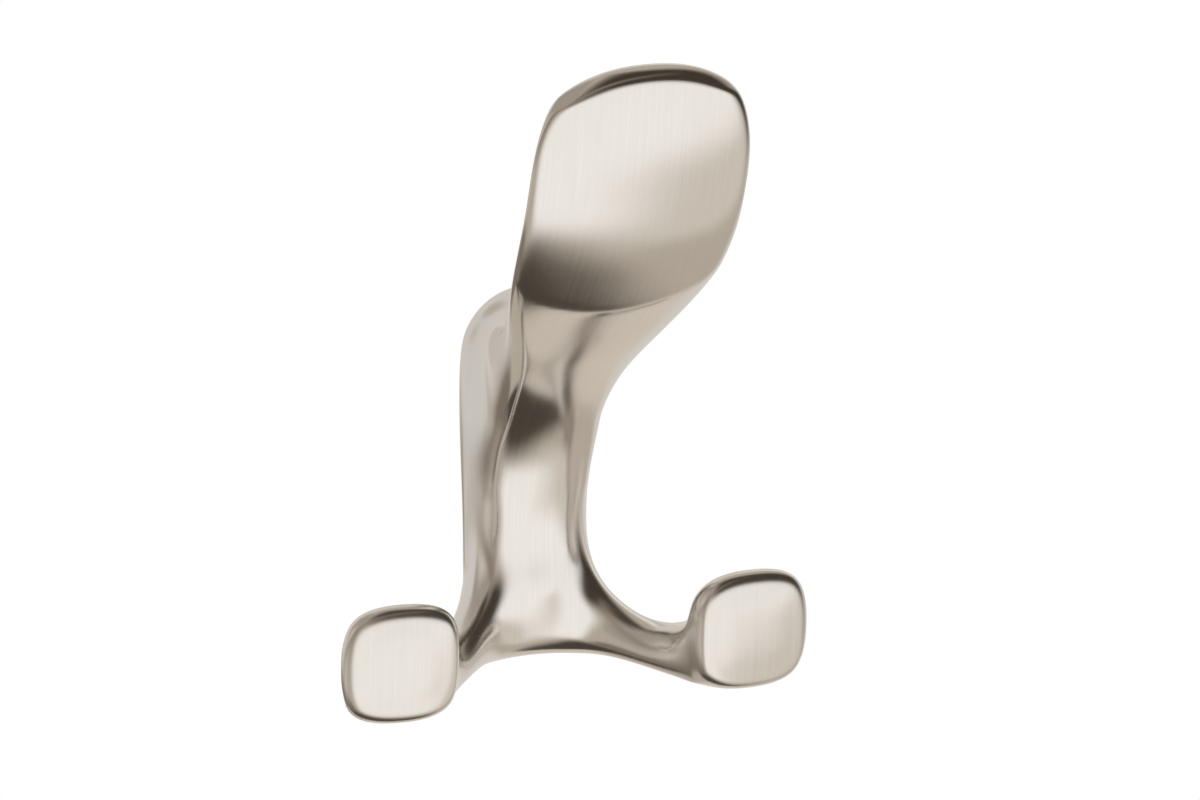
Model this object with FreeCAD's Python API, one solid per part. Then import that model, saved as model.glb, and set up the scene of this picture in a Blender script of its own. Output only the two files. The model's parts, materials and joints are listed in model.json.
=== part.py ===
import FreeCAD, Part
import math
import os

# Coat hook cast in one piece. A wall bar carries a stem that bends out into a neck and ends in a
# broad paddle, and two arms at its foot end in small paddles.
# Millimetres. The origin is the middle of the flat back, +Z is up, and the hook stands out from
# the wall along -Y, so "out" below is a distance from the wall.
#
# The skin is sculpted as one smooth surface over a cage of sections. Each four-sided cell of the
# cage becomes one bicubic patch, and the skin lies just inside the cage. The right half is built
# and mirrored.

# Wall bar
BAR_TOP = 34.2
BAR_BOTTOM = 35.4
BAR_HALF_WIDTH = 13.1
BAR_WAIST_HALF_WIDTH = 12.3
BAR_EDGE_OUT = 1.0
BAR_BACK_INSET = 0.3
BAR_SHOULDER_OUT = 5.2
BAR_SHOULDER_INSET = 2.0
BAR_SHOULDER_SHARE = 0.66

# Stem
STEM_OUT = 8.8
STEM_HALF_WIDTH = 9.0
STEM_FLAT_HALF_WIDTH = 4.5
STEM_CROWN = 0.2
STEM_EDGE_SETBACK = 1.6
STEM_WAIST_UP = -11.0

# Foot, where the arms leave. Heights are above the bar's lower end
FOOT_OUT = 11.0
FOOT_HALF_WIDTH = 8.4
FOOT_MIDDLE_RISE = 7.2
FOOT_TOP_RISE = 16.4
FOOT_TOP_OUT = 9.9
FOOT_TOP_SETBACK = 3.0
FOOT_LIP = 3.2
ARCH_DROOP = 0.8

# Neck: its front line leaves the stem on an arc, runs straight and bends up into the paddle
NECK_START_UP = -13.0
NECK_RADIUS = 43.0
NECK_LEAN = 48.0
NECK_RUN = 23.2
NECK_ROOT_UP = 11.0
NECK_ROOT_HALF_WIDTH = 10.8
NECK_ROOT_THICKNESS = 16.4
NECK_SECTIONS = 7

# Saddle, where the back of the neck meets the top of the bar
SADDLE_OUT = 8.0
SADDLE_DROP = 4.2
SADDLE_HALF_WIDTH = 8.8

# Main paddle
PADDLE_RADIUS = 72.0
PADDLE_LEAN = 12.0
PADDLE_HALF_WIDTH = 22.0
PADDLE_THICKNESS = 4.2
PADDLE_CROWN = 2.0
PADDLE_WIDENING = 57.0
TIP_HALF_WIDTH = 21.5
TIP_RISE = 17.3
TIP_LEAN = 6.0
TIP_THICKNESS = 4.6
TIP_ROLL = 1.9
TIP_ROUNDNESS = 2.46
TIP_RIM_WIDTH = 4.0

# Arms. Each section: part of the way to the small paddle, half depth, half height
ARM_SAG = 5.0
ARM_SQUARENESS = 0.84
ARM_LEAN = 12.0
ARM_SECTIONS = (
    (0.17, 5.4, 5.8),
    (0.40, 5.0, 4.9),
    (0.58, 5.2, 4.6),
    (0.77, 6.8, 6.2),
    (0.96, 10.2, 9.3),
)

# Small paddles. The rise is above the bar's lower end
HOOK_SIDE = 35.1
HOOK_RISE = 6.1
HOOK_OUT = 28.2
HOOK_HALF_WIDTH = 12.5
HOOK_HALF_HEIGHT = 12.4
HOOK_THICKNESS = 3.8
HOOK_LEAN = 4.0
HOOK_SPLAY = 4.0
HOOK_SQUARENESS = 0.9
HOOK_CROWN = 1.0
HOOK_ROLL = 0.8
HOOK_RIM_WIDTH = 4.2
HOOK_INNER_HALF = 5.5
ARM_END_INSET = 2.4
ARM_END_DROP = 2.0
ARM_END_DEPTH = 0.5

# Fixing: two blind holes for M4 screws from behind
SCREW_SPACING = 32.0
SCREW_HOLE_RADIUS = 1.65
SCREW_FRONT_WALL = 2.8
DRILL_POINT_ANGLE = 118.0

SEW_TOLERANCE = 0.001


class Cage:
    """Points and four-sided cells of the hook's right half."""

    def __init__(self):
        self.points = []
        self.cells = []

    def point(self, side, out, up):
        self.points.append(FreeCAD.Vector(side, -out, up))
        return len(self.points) - 1

    def strip(self, first, second):
        """Cells between two open rows of as many points."""
        for i in range(len(first) - 1):
            self.cells.append((first[i], first[i + 1], second[i + 1], second[i]))

    def band(self, first, second):
        """Cells between two closed loops of as many points."""
        self.strip(first + first[:1], second + second[:1])

    def mirrored(self):
        """Points and cells of both halves, with the points on the middle plane shared."""
        points = list(self.points)
        twin = []
        for i, p in enumerate(self.points):
            if p.x == 0.0:
                twin.append(i)
            else:
                twin.append(len(points))
                points.append(FreeCAD.Vector(-p.x, p.y, p.z))
        left = [tuple(twin[i] for i in reversed(cell)) for cell in self.cells]
        return points, self.cells + left


def front_line(distance):
    """Out, up and lean of the front line, at a distance along it from where the neck starts."""
    steep = math.radians(NECK_LEAN)
    first = NECK_RADIUS * steep
    turn = min(distance / NECK_RADIUS, steep)
    run = min(max(distance - first, 0.0), NECK_RUN)
    bend = max(distance - first - NECK_RUN, 0.0)
    lean = turn - bend / PADDLE_RADIUS
    out = STEM_OUT + NECK_RADIUS * (1 - math.cos(turn))
    out += run * math.sin(steep) + PADDLE_RADIUS * (math.cos(lean) - math.cos(turn))
    up = NECK_START_UP + NECK_RADIUS * math.sin(turn)
    up += run * math.cos(steep) + PADDLE_RADIUS * (math.sin(turn) - math.sin(lean))
    return out, up, lean


def front_line_at(height):
    """Distance along the front line at which it is that high, on its first arc or the run after it."""
    steep = math.radians(NECK_LEAN)
    climb = height - NECK_START_UP
    arc_climb = NECK_RADIUS * math.sin(steep)
    if climb < arc_climb:
        return NECK_RADIUS * math.asin(climb / NECK_RADIUS)
    return NECK_RADIUS * steep + (climb - arc_climb) / math.cos(steep)


def front_line_length():
    """Length of the front line from the neck's start to the end of the paddle's bend."""
    bend = PADDLE_RADIUS * math.radians(NECK_LEAN - PADDLE_LEAN)
    return NECK_RADIUS * math.radians(NECK_LEAN) + NECK_RUN + bend


def eased(part):
    """Smooth step from 0 to 1."""
    part = min(max(part, 0.0), 1.0)
    return part * part * (3 - 2 * part)


def mean_of(a, b):
    return 0.5 * (a + b)


def body_row(cage, up, out, edge_side, setback, wall_side, droop=0.0):
    """Six points of a level section: along the front, round its edge and back to the wall."""
    flat = min(STEM_FLAT_HALF_WIDTH, 0.5 * edge_side)
    edge_out = out - setback
    shoulder_out = BAR_EDGE_OUT + BAR_SHOULDER_SHARE * (edge_out - BAR_EDGE_OUT)
    return [
        cage.point(0.0, out, up),
        cage.point(flat, out - STEM_CROWN, up),
        cage.point(edge_side, edge_out, up - droop),
        cage.point(wall_side - BAR_SHOULDER_INSET, shoulder_out, up - droop),
        cage.point(wall_side, BAR_EDGE_OUT, up - droop),
        cage.point(wall_side - BAR_BACK_INSET, 0.0, up),
    ]


def body(cage):
    """Stem and wall bar from the arch up to the neck's root, open where the arms leave."""
    waist, top = BAR_WAIST_HALF_WIDTH, BAR_HALF_WIDTH
    low_up = mean_of(STEM_WAIST_UP, NECK_ROOT_UP)
    low_out = front_line(front_line_at(low_up))[0]
    low_side = mean_of(STEM_HALF_WIDTH, NECK_ROOT_HALF_WIDTH)
    root_out = front_line(front_line_at(NECK_ROOT_UP))[0]
    middle_up, arm_top_up = FOOT_MIDDLE_RISE - BAR_BOTTOM, FOOT_TOP_RISE - BAR_BOTTOM
    rows = [
        body_row(cage, -BAR_BOTTOM, FOOT_OUT - FOOT_LIP, FOOT_HALF_WIDTH, -STEM_CROWN, waist, ARCH_DROOP),
        body_row(cage, middle_up, FOOT_OUT, FOOT_HALF_WIDTH, STEM_CROWN, waist),
        body_row(cage, arm_top_up, FOOT_TOP_OUT, FOOT_HALF_WIDTH, FOOT_TOP_SETBACK, waist),
        body_row(cage, STEM_WAIST_UP, STEM_OUT, STEM_HALF_WIDTH, STEM_EDGE_SETBACK, waist),
        body_row(cage, low_up, low_out, low_side, STEM_EDGE_SETBACK, mean_of(waist, top)),
        body_row(cage, NECK_ROOT_UP, root_out, NECK_ROOT_HALF_WIDTH, STEM_EDGE_SETBACK, top),
    ]
    bottom, middle, arm_top = rows[:3]
    for lower, upper in ((bottom, middle), (middle, arm_top)):
        cage.strip(lower[:3], upper[:3])
        cage.strip(lower[4:], upper[4:])
    for lower, upper in zip(rows[2:], rows[3:]):
        cage.strip(lower, upper)
    return rows


def arch(cage, bottom):
    """Underside between the arms, from the lowest row of the body back to the wall."""
    front, flat, corner, shoulder, edge, wall = bottom
    flat_side = cage.points[flat].x
    previous = [front, flat, corner]
    for end in (shoulder, edge, wall):
        out = -cage.points[end].y
        row = [cage.point(0.0, out, -BAR_BOTTOM), cage.point(flat_side, out, -BAR_BOTTOM), end]
        cage.strip(row, previous)
        previous = row


def neck_root(cage, last_row):
    """Loop round the neck where it leaves the bar: three points in front, five round the back.

    Each back point: how far it lies to the side, and its parts of the way in and up from the
    front edge to the saddle.
    """
    front = cage.points[last_row[2]]
    side, out, up = front.x, -front.y, front.z
    saddle_up = BAR_TOP - SADDLE_DROP
    loop = list(last_row[:3])
    for place, inward, upward in (
        (side, 0.38, 0.38),
        (side, 0.75, 0.72),
        (SADDLE_HALF_WIDTH, 0.97, 0.93),
        (0.5 * SADDLE_HALF_WIDTH, 1.0, 1.0),
        (0.0, 1.0, 1.0),
    ):
        loop.append(cage.point(place, out + inward * (SADDLE_OUT - out), up + upward * (saddle_up - up)))
    return loop


def bar_top(cage, last_row, root):
    """Rounded top of the wall bar: three arcs from its sides over the back of the neck."""
    inner = root[2:]
    centre_up = BAR_TOP - BAR_HALF_WIDTH
    for start, inset, out in (
        (last_row[3], BAR_SHOULDER_INSET, BAR_SHOULDER_OUT),
        (last_row[4], 0.0, BAR_EDGE_OUT),
        (last_row[5], BAR_BACK_INSET, 0.0),
    ):
        radius = BAR_HALF_WIDTH - inset
        arc = [start]
        for degrees in (8.0, 30.0, 52.0, 72.0):
            turn = math.radians(degrees)
            arc.append(cage.point(radius * math.cos(turn), out, centre_up + radius * math.sin(turn)))
        arc.append(cage.point(0.0, out, centre_up + radius))
        cage.strip(arc, inner)
        inner = arc


def slab_ring(cage, out, up, lean, half_width, thickness):
    """Eight points round half a slab section: front, rounded side and back.

    Each point: its share of the half width and its share of the thickness behind the front.
    """
    ring = []
    for share, depth in (
        (0.0, 0.0),
        (0.55, 0.0),
        (0.88, 0.0),
        (1.0, 0.2),
        (0.985, 0.86),
        (0.854, 1.0),
        (0.55, 1.0),
        (0.0, 1.0),
    ):
        crown = PADDLE_CROWN * share * share if depth < 0.5 else 0.0
        behind = crown + depth * thickness
        place = (share * half_width, out - behind * math.cos(lean), up + behind * math.sin(lean))
        ring.append(cage.point(*place))
    return ring


def neck_and_paddle(cage, root):
    """Slab sections along the front line, from the neck's root to the paddle's widest part."""
    start = front_line_at(NECK_ROOT_UP)
    step = (front_line_length() - start) / NECK_SECTIONS
    rings = [root]
    for i in range(1, NECK_SECTIONS + 1):
        part = i * step / PADDLE_WIDENING
        out, up, lean = front_line(start + i * step)
        half_width = NECK_ROOT_HALF_WIDTH + eased(part) * (PADDLE_HALF_WIDTH - NECK_ROOT_HALF_WIDTH)
        thinning = max(1 - part, 0.0) ** 1.5
        thickness = PADDLE_THICKNESS + thinning * (NECK_ROOT_THICKNESS - PADDLE_THICKNESS)
        rings.append(slab_ring(cage, out, up, lean, half_width, thickness))
    for lower, upper in zip(rings, rings[1:]):
        cage.strip(lower, upper)
    return rings[-1]


def paddle_tip(cage, last_ring):
    """End of the main paddle: a rounded outline with a rolled front edge."""
    out, up, _ = front_line(front_line_length())
    lean = math.radians(TIP_LEAN)

    def place(side, rise, depth):
        """Point at a height above the last section and a share of the thickness behind the front."""
        crown = PADDLE_CROWN * (side / TIP_HALF_WIDTH) ** 2
        behind = (1 - depth) * crown + depth * TIP_THICKNESS
        ahead = out + rise * math.sin(lean) - behind * math.cos(lean)
        return cage.point(side, ahead, up + rise * math.cos(lean) + behind * math.sin(lean))

    def outline(share):
        """Share of the rise at a share of the half width, or the other way round."""
        return (1 - share**TIP_ROUNDNESS) ** (1 / TIP_ROUNDNESS)

    shares = (0.0, 0.36, 0.64, 0.835)
    rim = [(share * TIP_HALF_WIDTH, outline(share) * TIP_RISE) for share in shares]
    inner = [(side, rise - TIP_RIM_WIDTH * (1 + 0.4 * side / TIP_HALF_WIDTH)) for side, rise in rim[:3]]
    flank_rise = 0.52
    flank = outline(flank_rise) * TIP_HALF_WIDTH
    support = [place(side, rise, 0.0) for side, rise in inner]
    support += [place(flank, flank_rise * TIP_RISE, depth) for depth in (0.1, 0.9)]
    support += [place(side, rise, 1.0) for side, rise in reversed(inner)]
    cage.strip(last_ring, support)
    shrink = 1 - TIP_ROLL / TIP_HALF_WIDTH
    front = [place(side * shrink, rise - TIP_ROLL, 0.05) for side, rise in rim]
    back = [place(side, rise, 0.9) for side, rise in rim]
    cage.strip(support, front + back[::-1])
    cage.strip(front, back)


def section_loop(cage, centre, heading, half_depth, half_height, squareness, lean=0.0):
    """Eight points round an arm's section. Heading 0 is straight out to the side, 90 degrees ahead."""
    side, out, up = centre
    loop = []
    for across, rise in (
        (squareness, squareness),
        (1.0, 0.0),
        (squareness, -squareness),
        (0.0, -1.0),
        (-squareness, -squareness),
        (-1.0, 0.0),
        (-squareness, squareness),
        (0.0, 1.0),
    ):
        aside = across * half_depth
        tall = rise * half_height
        ahead = out + aside * math.cos(heading) + tall * math.sin(lean)
        loop.append(cage.point(side - aside * math.sin(heading), ahead, up + tall * math.cos(lean)))
    return loop


def hook_centre(ahead):
    """Middle of the small paddle's face, moved ahead in the direction that it faces."""
    lean, splay = math.radians(HOOK_LEAN), math.radians(HOOK_SPLAY)
    side = HOOK_SIDE + ahead * math.sin(splay)
    out = HOOK_OUT + ahead * math.cos(lean) * math.cos(splay)
    return side, out, HOOK_RISE - BAR_BOTTOM - ahead * math.sin(lean)


def arm(cage, root):
    """Sections from the side of the foot to the back of the small paddle, sagging on the way."""
    start = (BAR_WAIST_HALF_WIDTH - BAR_SHOULDER_INSET, 0.5 * FOOT_OUT, 0.5 * FOOT_TOP_RISE - BAR_BOTTOM)
    side, out, up = hook_centre(-HOOK_THICKNESS)
    end = (side - ARM_END_INSET, out - ARM_END_DEPTH, up - ARM_END_DROP)
    loops = [root]
    for part, half_depth, half_height in ARM_SECTIONS:
        side, out, up = [a + part * (b - a) for a, b in zip(start, end)]
        sag = ARM_SAG * 4 * part * (1 - part)
        heading = math.radians(90.0) * part
        centre = (side, out, up - sag)
        lean = math.radians(part * HOOK_LEAN - (1 - part) * ARM_LEAN)
        loops.append(section_loop(cage, centre, heading, half_depth, half_height, ARM_SQUARENESS, lean))
    for inner, outer in zip(loops, loops[1:]):
        cage.band(inner, outer)
    return loops[-1]


def small_paddle(cage, arm_end):
    """Plate at the end of an arm: its back, its rim and a face with a slight crown."""
    heading, lean = math.radians(90.0 - HOOK_SPLAY), math.radians(HOOK_LEAN)
    previous = arm_end
    for ahead, half_width, half_height in (
        (-HOOK_THICKNESS, HOOK_HALF_WIDTH, HOOK_HALF_HEIGHT),
        (0.0, HOOK_HALF_WIDTH - HOOK_ROLL, HOOK_HALF_HEIGHT - HOOK_ROLL),
        (0.3 * HOOK_CROWN, HOOK_HALF_WIDTH - HOOK_RIM_WIDTH, HOOK_HALF_HEIGHT - HOOK_RIM_WIDTH),
        (0.8 * HOOK_CROWN, HOOK_INNER_HALF, HOOK_INNER_HALF),
    ):
        centre = hook_centre(ahead)
        loop = section_loop(cage, centre, heading, half_width, half_height, HOOK_SQUARENESS, lean)
        cage.band(previous, loop)
        previous = loop
    middle = [previous[7], cage.point(*hook_centre(HOOK_CROWN)), previous[3]]
    cage.strip(previous[:3], middle)
    cage.strip(middle, previous[6:3:-1])


def hook_cage():
    """Cage of the whole casting."""
    cage = Cage()
    rows = body(cage)
    arch(cage, rows[0])
    root = neck_root(cage, rows[-1])
    bar_top(cage, rows[-1], root)
    paddle_tip(cage, neck_and_paddle(cage, root))
    bottom, middle, top = rows[:3]
    arm_root = [top[2], middle[2], bottom[2], bottom[3], bottom[4], middle[4], top[4], top[3]]
    small_paddle(cage, arm(cage, arm_root))
    return cage.mirrored()


def mean(vectors):
    total = FreeCAD.Vector()
    for vector in vectors:
        total += vector
    return total / len(vectors)


def skin_faces(points, cells):
    """One bicubic face for each cell, and the edges of the open rim at the wall.

    The inner pole by a corner is a weighted mean: the corner counts as often as cells meet there,
    its two neighbours twice and the opposite point once. A pole on an edge is the mean of the inner
    poles beside it, and a corner pole is the mean of all inner poles round it. Along the open rim,
    edge and corner poles follow the rim alone, so the rim stays flat on the wall.
    """
    cells_at = {}
    sides = {}
    for cell in cells:
        for k in range(4):
            cells_at[cell[k]] = cells_at.get(cell[k], 0) + 1
            side = frozenset((cell[k], cell[(k + 1) % 4]))
            sides[side] = sides.get(side, 0) + 1
    rim = {}
    for side, count in sides.items():
        if count == 1:
            a, b = side
            rim.setdefault(a, []).append(b)
            rim.setdefault(b, []).append(a)

    inner = {}
    beside = {}
    around = {}
    for number, cell in enumerate(cells):
        for k in range(4):
            here, following, opposite, before = (cell[(k + step) % 4] for step in range(4))
            weight = 2 * cells_at[here] if here in rim else cells_at[here]
            pole = points[here] * weight + (points[following] + points[before]) * 2 + points[opposite]
            pole = pole / (weight + 5)
            inner[number, here] = pole
            beside.setdefault((here, following), []).append(pole)
            beside.setdefault((here, before), []).append(pole)
            around.setdefault(here, []).append(pole)

    def edge_pole(a, b):
        if sides[frozenset((a, b))] == 1:
            return (points[a] * 2 + points[b]) / 3
        return mean(beside[a, b])

    def corner_pole(a):
        if a in rim:
            return (points[a] * 4 + points[rim[a][0]] + points[rim[a][1]]) / 6
        return mean(around[a])

    faces = []
    rim_edges = []
    for number, (a, b, c, d) in enumerate(cells):
        poles = (
            (corner_pole(a), edge_pole(a, d), edge_pole(d, a), corner_pole(d)),
            (edge_pole(a, b), inner[number, a], inner[number, d], edge_pole(d, c)),
            (edge_pole(b, a), inner[number, b], inner[number, c], edge_pole(c, d)),
            (corner_pole(b), edge_pole(b, c), edge_pole(c, b), corner_pole(c)),
        )
        surface = Part.BezierSurface()
        surface.increase(3, 3)
        for i in range(4):
            for j in range(4):
                surface.setPole(i + 1, j + 1, poles[i][j])
        faces.append(surface.toShape())
        for start, stop in ((a, b), (b, c), (c, d), (d, a)):
            if sides[frozenset((start, stop))] == 1:
                curve = Part.BezierCurve()
                curve.setPoles(
                    [corner_pole(start), edge_pole(start, stop), edge_pole(stop, start), corner_pole(stop)]
                )
                rim_edges.append(curve.toShape())
    return faces, rim_edges


def casting():
    """Closed solid of the skin and the flat back."""
    faces, rim_edges = skin_faces(*hook_cage())
    back = Part.Face(Part.Wire(Part.__sortEdges__(rim_edges)))
    shell = Part.makeShell(faces + [back])
    shell.sewShape(SEW_TOLERANCE)
    solid = Part.makeSolid(shell if shell.ShapeType == "Shell" else shell.Shells[0])
    if solid.Volume < 0:
        solid.reverse()
    return solid


def screw_hole(up):
    """Blind drilled hole with the drill's pointed end."""
    depth = STEM_OUT - SCREW_FRONT_WALL
    point = SCREW_HOLE_RADIUS / math.tan(math.radians(0.5 * DRILL_POINT_ANGLE))
    beyond = 1.0
    profile = [
        FreeCAD.Vector(0, beyond, up),
        FreeCAD.Vector(SCREW_HOLE_RADIUS, beyond, up),
        FreeCAD.Vector(SCREW_HOLE_RADIUS, -depth, up),
        FreeCAD.Vector(0, -depth - point, up),
        FreeCAD.Vector(0, beyond, up),
    ]
    section = Part.Face(Part.makePolygon(profile))
    return section.revolve(FreeCAD.Vector(0, 0, up), FreeCAD.Vector(0, 1, 0), 360)


def hook_body():
    """The casting with its two fixing holes."""
    solid = casting()
    for up in (-0.5 * SCREW_SPACING, 0.5 * SCREW_SPACING):
        solid = solid.cut(screw_hole(up))
    return solid.Solids[0]


os.makedirs("parts", exist_ok=True)
hook = hook_body()
hook.exportStep("parts/hook_body.step")
print("hook_body valid", hook.isValid(), "faces", len(hook.Faces), "cm3", round(hook.Volume / 1000, 2))
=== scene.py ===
"""Coat hook in satin nickel: one casting with a wall bar, an upright paddle and two small paddles.

The casting's skin is a Catmull-Clark surface over a small cage of sections. All shapes are worked
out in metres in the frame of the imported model: X to the right, Y into the wall, Z up. In the code
"side" is X, "out" is the distance from the wall, which is -Y, and "up" is Z.
"""

import json
import math

import bpy
import numpy as np
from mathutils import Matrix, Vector


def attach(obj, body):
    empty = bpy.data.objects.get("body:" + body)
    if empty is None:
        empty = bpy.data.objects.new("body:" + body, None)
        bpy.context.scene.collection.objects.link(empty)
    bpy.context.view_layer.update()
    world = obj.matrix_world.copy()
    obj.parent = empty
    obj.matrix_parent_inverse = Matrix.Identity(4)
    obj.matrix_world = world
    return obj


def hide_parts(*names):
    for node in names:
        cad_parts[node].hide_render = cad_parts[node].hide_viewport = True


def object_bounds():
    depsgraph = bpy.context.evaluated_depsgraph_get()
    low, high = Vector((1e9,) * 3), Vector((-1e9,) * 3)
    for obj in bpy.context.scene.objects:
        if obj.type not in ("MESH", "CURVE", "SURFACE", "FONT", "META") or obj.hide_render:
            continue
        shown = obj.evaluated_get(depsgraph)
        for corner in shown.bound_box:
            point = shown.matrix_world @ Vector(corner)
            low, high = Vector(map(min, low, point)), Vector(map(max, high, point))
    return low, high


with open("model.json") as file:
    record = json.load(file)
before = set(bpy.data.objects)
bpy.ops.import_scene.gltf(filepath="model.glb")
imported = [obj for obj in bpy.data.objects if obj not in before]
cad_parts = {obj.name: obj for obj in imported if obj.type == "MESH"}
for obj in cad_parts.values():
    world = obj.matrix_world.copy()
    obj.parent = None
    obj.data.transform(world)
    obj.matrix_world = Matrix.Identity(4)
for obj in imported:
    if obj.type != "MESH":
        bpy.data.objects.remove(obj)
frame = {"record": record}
cad_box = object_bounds()

bl_info = {
    "name": "Coat hook",
    "version": (1, 0, 0),
    "blender": (4, 5, 0),
    "location": "3D View > Sidebar > Coat hook",
    "description": "Builds a cast coat hook in satin nickel, its fixing holes and a plain studio",
    "category": "Add Mesh",
}

BODY = "root"
NODE = "hook_body"
MM = 0.001
MOUNTS = {mount["name"]: mount for mount in frame["record"]["mounts"]}
SCREWS = MOUNTS["fixing_screws"]["dims"]


def length(name, millimetres, description):
    """Property for a length, given in millimetres."""
    return bpy.props.FloatProperty(
        name=name, description=description, default=millimetres * MM, unit="LENGTH", precision=5
    )


def angle(name, degrees, description):
    """Property for an angle, given in degrees."""
    return bpy.props.FloatProperty(
        name=name, description=description, default=math.radians(degrees), unit="ROTATION"
    )


def share(name, value, description):
    """Property for a plain ratio."""
    return bpy.props.FloatProperty(
        name=name, description=description, default=value, subtype="FACTOR", soft_min=0, soft_max=1
    )


def colour(name, value, description):
    """Property for a colour."""
    return bpy.props.FloatVectorProperty(
        name=name, description=description, default=value, subtype="COLOR", size=3, min=0, max=1
    )


class BarSizes(bpy.types.PropertyGroup):
    """Sizes of the wall bar, the stem and the foot"""

    top: length("Top", 34.2, "Upper end of the wall bar above the middle")
    bottom: length("Bottom", 35.4, "Lower end of the wall bar below the middle")
    half_width: length("Half width", 13.1, "Half width of the bar near its top")
    waist_half_width: length("Waist half width", 12.3, "Half width of the bar at the stem")
    edge_out: length("Edge", 1.0, "Distance from the wall at which the bar is widest")
    back_inset: length("Back inset", 0.3, "How far the bar narrows again at the wall")
    shoulder_out: length("Shoulder", 5.2, "Distance from the wall of the rounded top's shoulder")
    shoulder_inset: length("Shoulder inset", 2.0, "How far the shoulder lies inside the edge")
    shoulder_share: share(
        "Shoulder share", 0.66, "Where the flank's shoulder lies, from the edge at the wall to the front"
    )
    stem_out: length("Stem", 8.8, "Distance from the wall of the stem's front")
    stem_half_width: length("Stem half width", 9.0, "Half width of the stem's front")
    stem_flat: length("Stem flat", 4.5, "Half width of the nearly flat strip on the stem's front")
    stem_crown: length("Stem crown", 0.2, "Drop of the front across the flat strip")
    stem_setback: length("Stem edge setback", 1.6, "Drop of the front from its middle to its edge")
    stem_waist_up: length("Stem waist", -11.0, "Height of the stem's narrowest section")
    foot_out: length("Foot", 11.0, "Distance from the wall of the foot's front")
    foot_half_width: length("Foot half width", 8.4, "Half width of the foot's front")
    foot_middle_rise: length("Foot middle", 7.2, "Height of the arms' middle above the bar's end")
    foot_top_rise: length("Foot top", 16.4, "Height of the arms' upper edge above the bar's end")
    foot_top_out: length("Foot top distance", 9.9, "Distance from the wall of the foot's top")
    foot_top_setback: length("Foot top setback", 3.0, "Drop of the foot's top to its edge")
    foot_lip: length("Foot lip", 3.2, "How far the foot's lower end is rolled back")
    arch_droop: length("Arch droop", 0.8, "How far the arch's sides hang below its middle")


class NeckSizes(bpy.types.PropertyGroup):
    """Sizes of the neck, from the stem up to the main paddle"""

    start_up: length("Start", -13.0, "Height at which the front leaves the stem")
    radius: length("Radius", 43.0, "Radius of the front's first bend")
    lean: angle("Lean", 48.0, "Lean of the front's straight run from upright")
    run: length("Run", 23.2, "Length of the front's straight run")
    root_up: length("Root", 11.0, "Height of the neck's first section")
    root_half_width: length("Root half width", 10.8, "Half width of the front at the root")
    root_thickness: length("Root thickness", 16.4, "Thickness of the neck at its root")
    saddle_out: length("Saddle", 8.0, "Distance from the wall at which the bar's top meets the neck")
    saddle_drop: length("Saddle drop", 4.2, "How far the saddle lies below the bar's top")
    saddle_half_width: length("Saddle half width", 8.8, "Half width of the saddle")
    sections: bpy.props.IntProperty(
        name="Sections",
        description="Sections from the root to the paddle",
        default=7,
        min=3,
        subtype="UNSIGNED",
    )


class PaddleSizes(bpy.types.PropertyGroup):
    """Sizes of the main paddle"""

    radius: length("Radius", 72.0, "Radius of the bend from the neck into the paddle")
    lean: angle("Lean", 12.0, "Lean of the paddle's face from upright")
    half_width: length("Half width", 22.0, "Half width of the paddle at its widest")
    thickness: length("Thickness", 4.2, "Thickness of the paddle")
    crown: length("Crown", 2.0, "Drop of the face from its middle to its edge")
    widening: length("Widening", 57.0, "Length over which the neck widens into the paddle")
    tip_half_width: length("Tip half width", 21.5, "Half width of the paddle's rounded end")
    tip_rise: length("Tip rise", 17.3, "Height of the rounded end above the last section")
    tip_lean: angle("Tip lean", 6.0, "Lean of the rounded end from upright")
    tip_thickness: length("Tip thickness", 4.6, "Thickness of the rounded end")
    tip_roll: length("Tip roll", 1.9, "How far the front edge is rolled back from the outline")
    tip_roundness: bpy.props.FloatProperty(
        name="Tip roundness",
        description="Exponent of the outline: 2 is an ellipse",
        default=2.46,
        subtype="NONE",
    )
    tip_rim: length("Tip rim", 4.0, "Width of the rounded rim at the end")
    chin_height: length("Chin height", 0.45, "How crisp the turn from the neck into the face is")
    chin_reach: length("Chin reach", 10.0, "How far the crisp turn reaches up and down")
    chin_start: length("Chin start", 6.3, "Distance of the turn's lowest point above the neck's straight run")
    chin_rise: length("Chin rise", 9.0, "How much higher the turn lies at the paddle's edges")
    chin_rounding: length("Chin rounding", 0.5, "Distance over which the turn's ridge is rounded off")
    chin_dip: share("Chin dip", 0.2, "How far the face sinks beside the turn, as a share of its height")


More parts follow.
